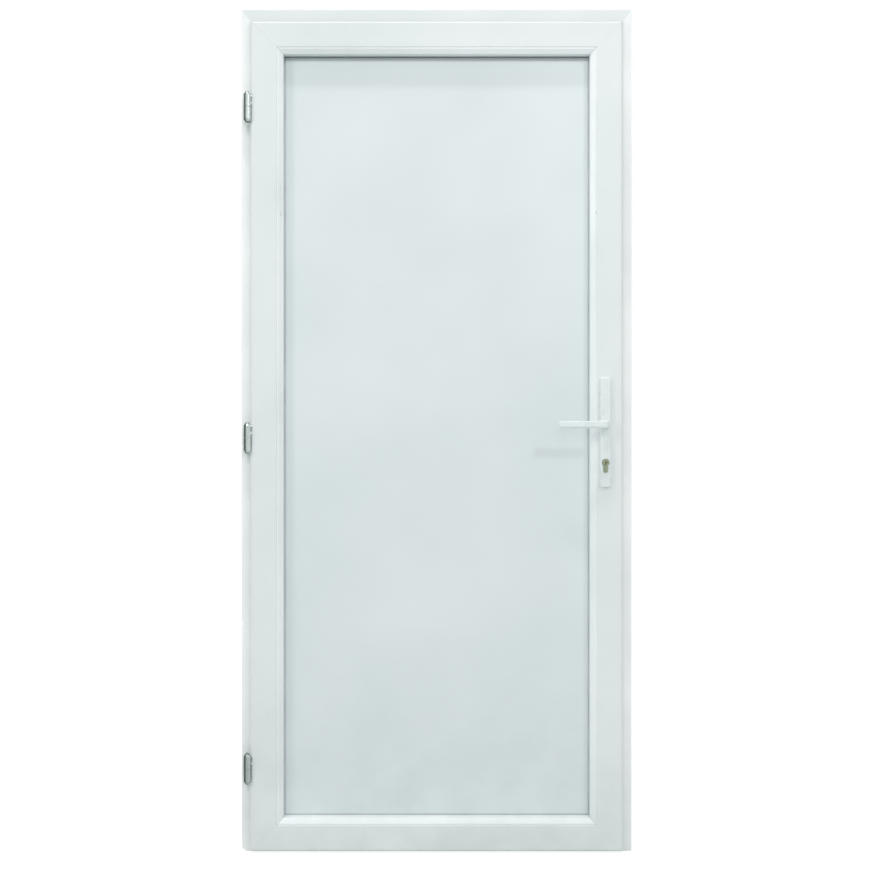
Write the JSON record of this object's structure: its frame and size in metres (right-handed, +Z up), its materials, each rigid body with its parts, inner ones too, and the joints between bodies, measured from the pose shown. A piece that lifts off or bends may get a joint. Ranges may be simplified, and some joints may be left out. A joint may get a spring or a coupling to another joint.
{
  "type": "front door",
  "caption": "White uPVC front door leaf with a flat panel, hung on barrel hinges in its frame, with lever handles and a cylinder lock.",
  "frame": {"origin": "on the flat underside of the threshold, halfway between the jambs and halfway through the frame's depth", "axes": "+Z up, +X from the hinge jamb to the lock jamb as seen from the room, +Y from the room to the weather side"},
  "size_m": [0.95, 0.17, 2.05],
  "materials": {
    "frame_upvc": "extruded white uPVC",
    "leaf_upvc": "extruded white uPVC",
    "bead_upvc": "extruded white uPVC",
    "panel_skin": "satin white PVC skin",
    "seal_rubber": "grey EPDM",
    "threshold_aluminium": "anodised",
    "zinc_plated_steel": "zinc plated",
    "bolt_steel": "machined",
    "hinge_steel": "bare, zinc plated",
    "washer_nylon": "nylon",
    "handle_lacquer": "white powder coat",
    "cylinder_nickel": "satin nickel",
    "plug_brass": "dull brass"
  },
  "bodies": {
    "frame": {"hinge_jamb": "frame_upvc", "lock_jamb": "frame_upvc", "frame_head": "frame_upvc", "threshold": "threshold_aluminium", "frame_seal": "seal_rubber", "centre_strike": "zinc_plated_steel", "upper_strike": "zinc_plated_steel", "lower_strike": "zinc_plated_steel", "upper_hinge_frame_half": "hinge_steel", "middle_hinge_frame_half": "hinge_steel", "lower_hinge_frame_half": "hinge_steel", "upper_hinge_washer": "washer_nylon", "middle_hinge_washer": "washer_nylon", "lower_hinge_washer": "washer_nylon"},
    "leaf": {"hinge_stile": "leaf_upvc", "lock_stile": "leaf_upvc", "top_rail": "leaf_upvc", "bottom_rail": "leaf_upvc", "hinge_side_bead": "bead_upvc", "lock_side_bead": "bead_upvc", "top_bead": "bead_upvc", "bottom_bead": "bead_upvc", "infill_panel": "panel_skin", "room_panel_seal": "seal_rubber", "weather_panel_seal": "seal_rubber", "leaf_seal": "seal_rubber", "lock_faceplate": "zinc_plated_steel", "latch_bolt": "bolt_steel", "deadbolt": "bolt_steel", "upper_hook": "bolt_steel", "lower_hook": "bolt_steel", "inside_handle_plate": "handle_lacquer", "outside_handle_plate": "handle_lacquer", "lock_cylinder": "cylinder_nickel", "cylinder_plug": "plug_brass", "rain_deflector": "threshold_aluminium", "upper_hinge_leaf_half": "hinge_steel", "middle_hinge_leaf_half": "hinge_steel", "lower_hinge_leaf_half": "hinge_steel"},
    "lever": {"inside_lever": "handle_lacquer", "outside_lever": "handle_lacquer", "spindle": "bolt_steel"}
  },
  "joints": [
    {"name": "door_swing", "type": "hinge", "parent": "frame", "child": "leaf", "pos_m": [-0.4575, -0.0575, 1.007], "axis": [0, 0, -1], "range_deg": [0, 110]},
    {"name": "lever_turn", "type": "hinge", "parent": "leaf", "child": "lever", "pos_m": [0.407, 0, 1.04], "axis": [0, -1, 0], "range_deg": [0, 40], "stiffness_Nm_per_rad": 1.5, "springref_deg": -22.92}
  ]
}
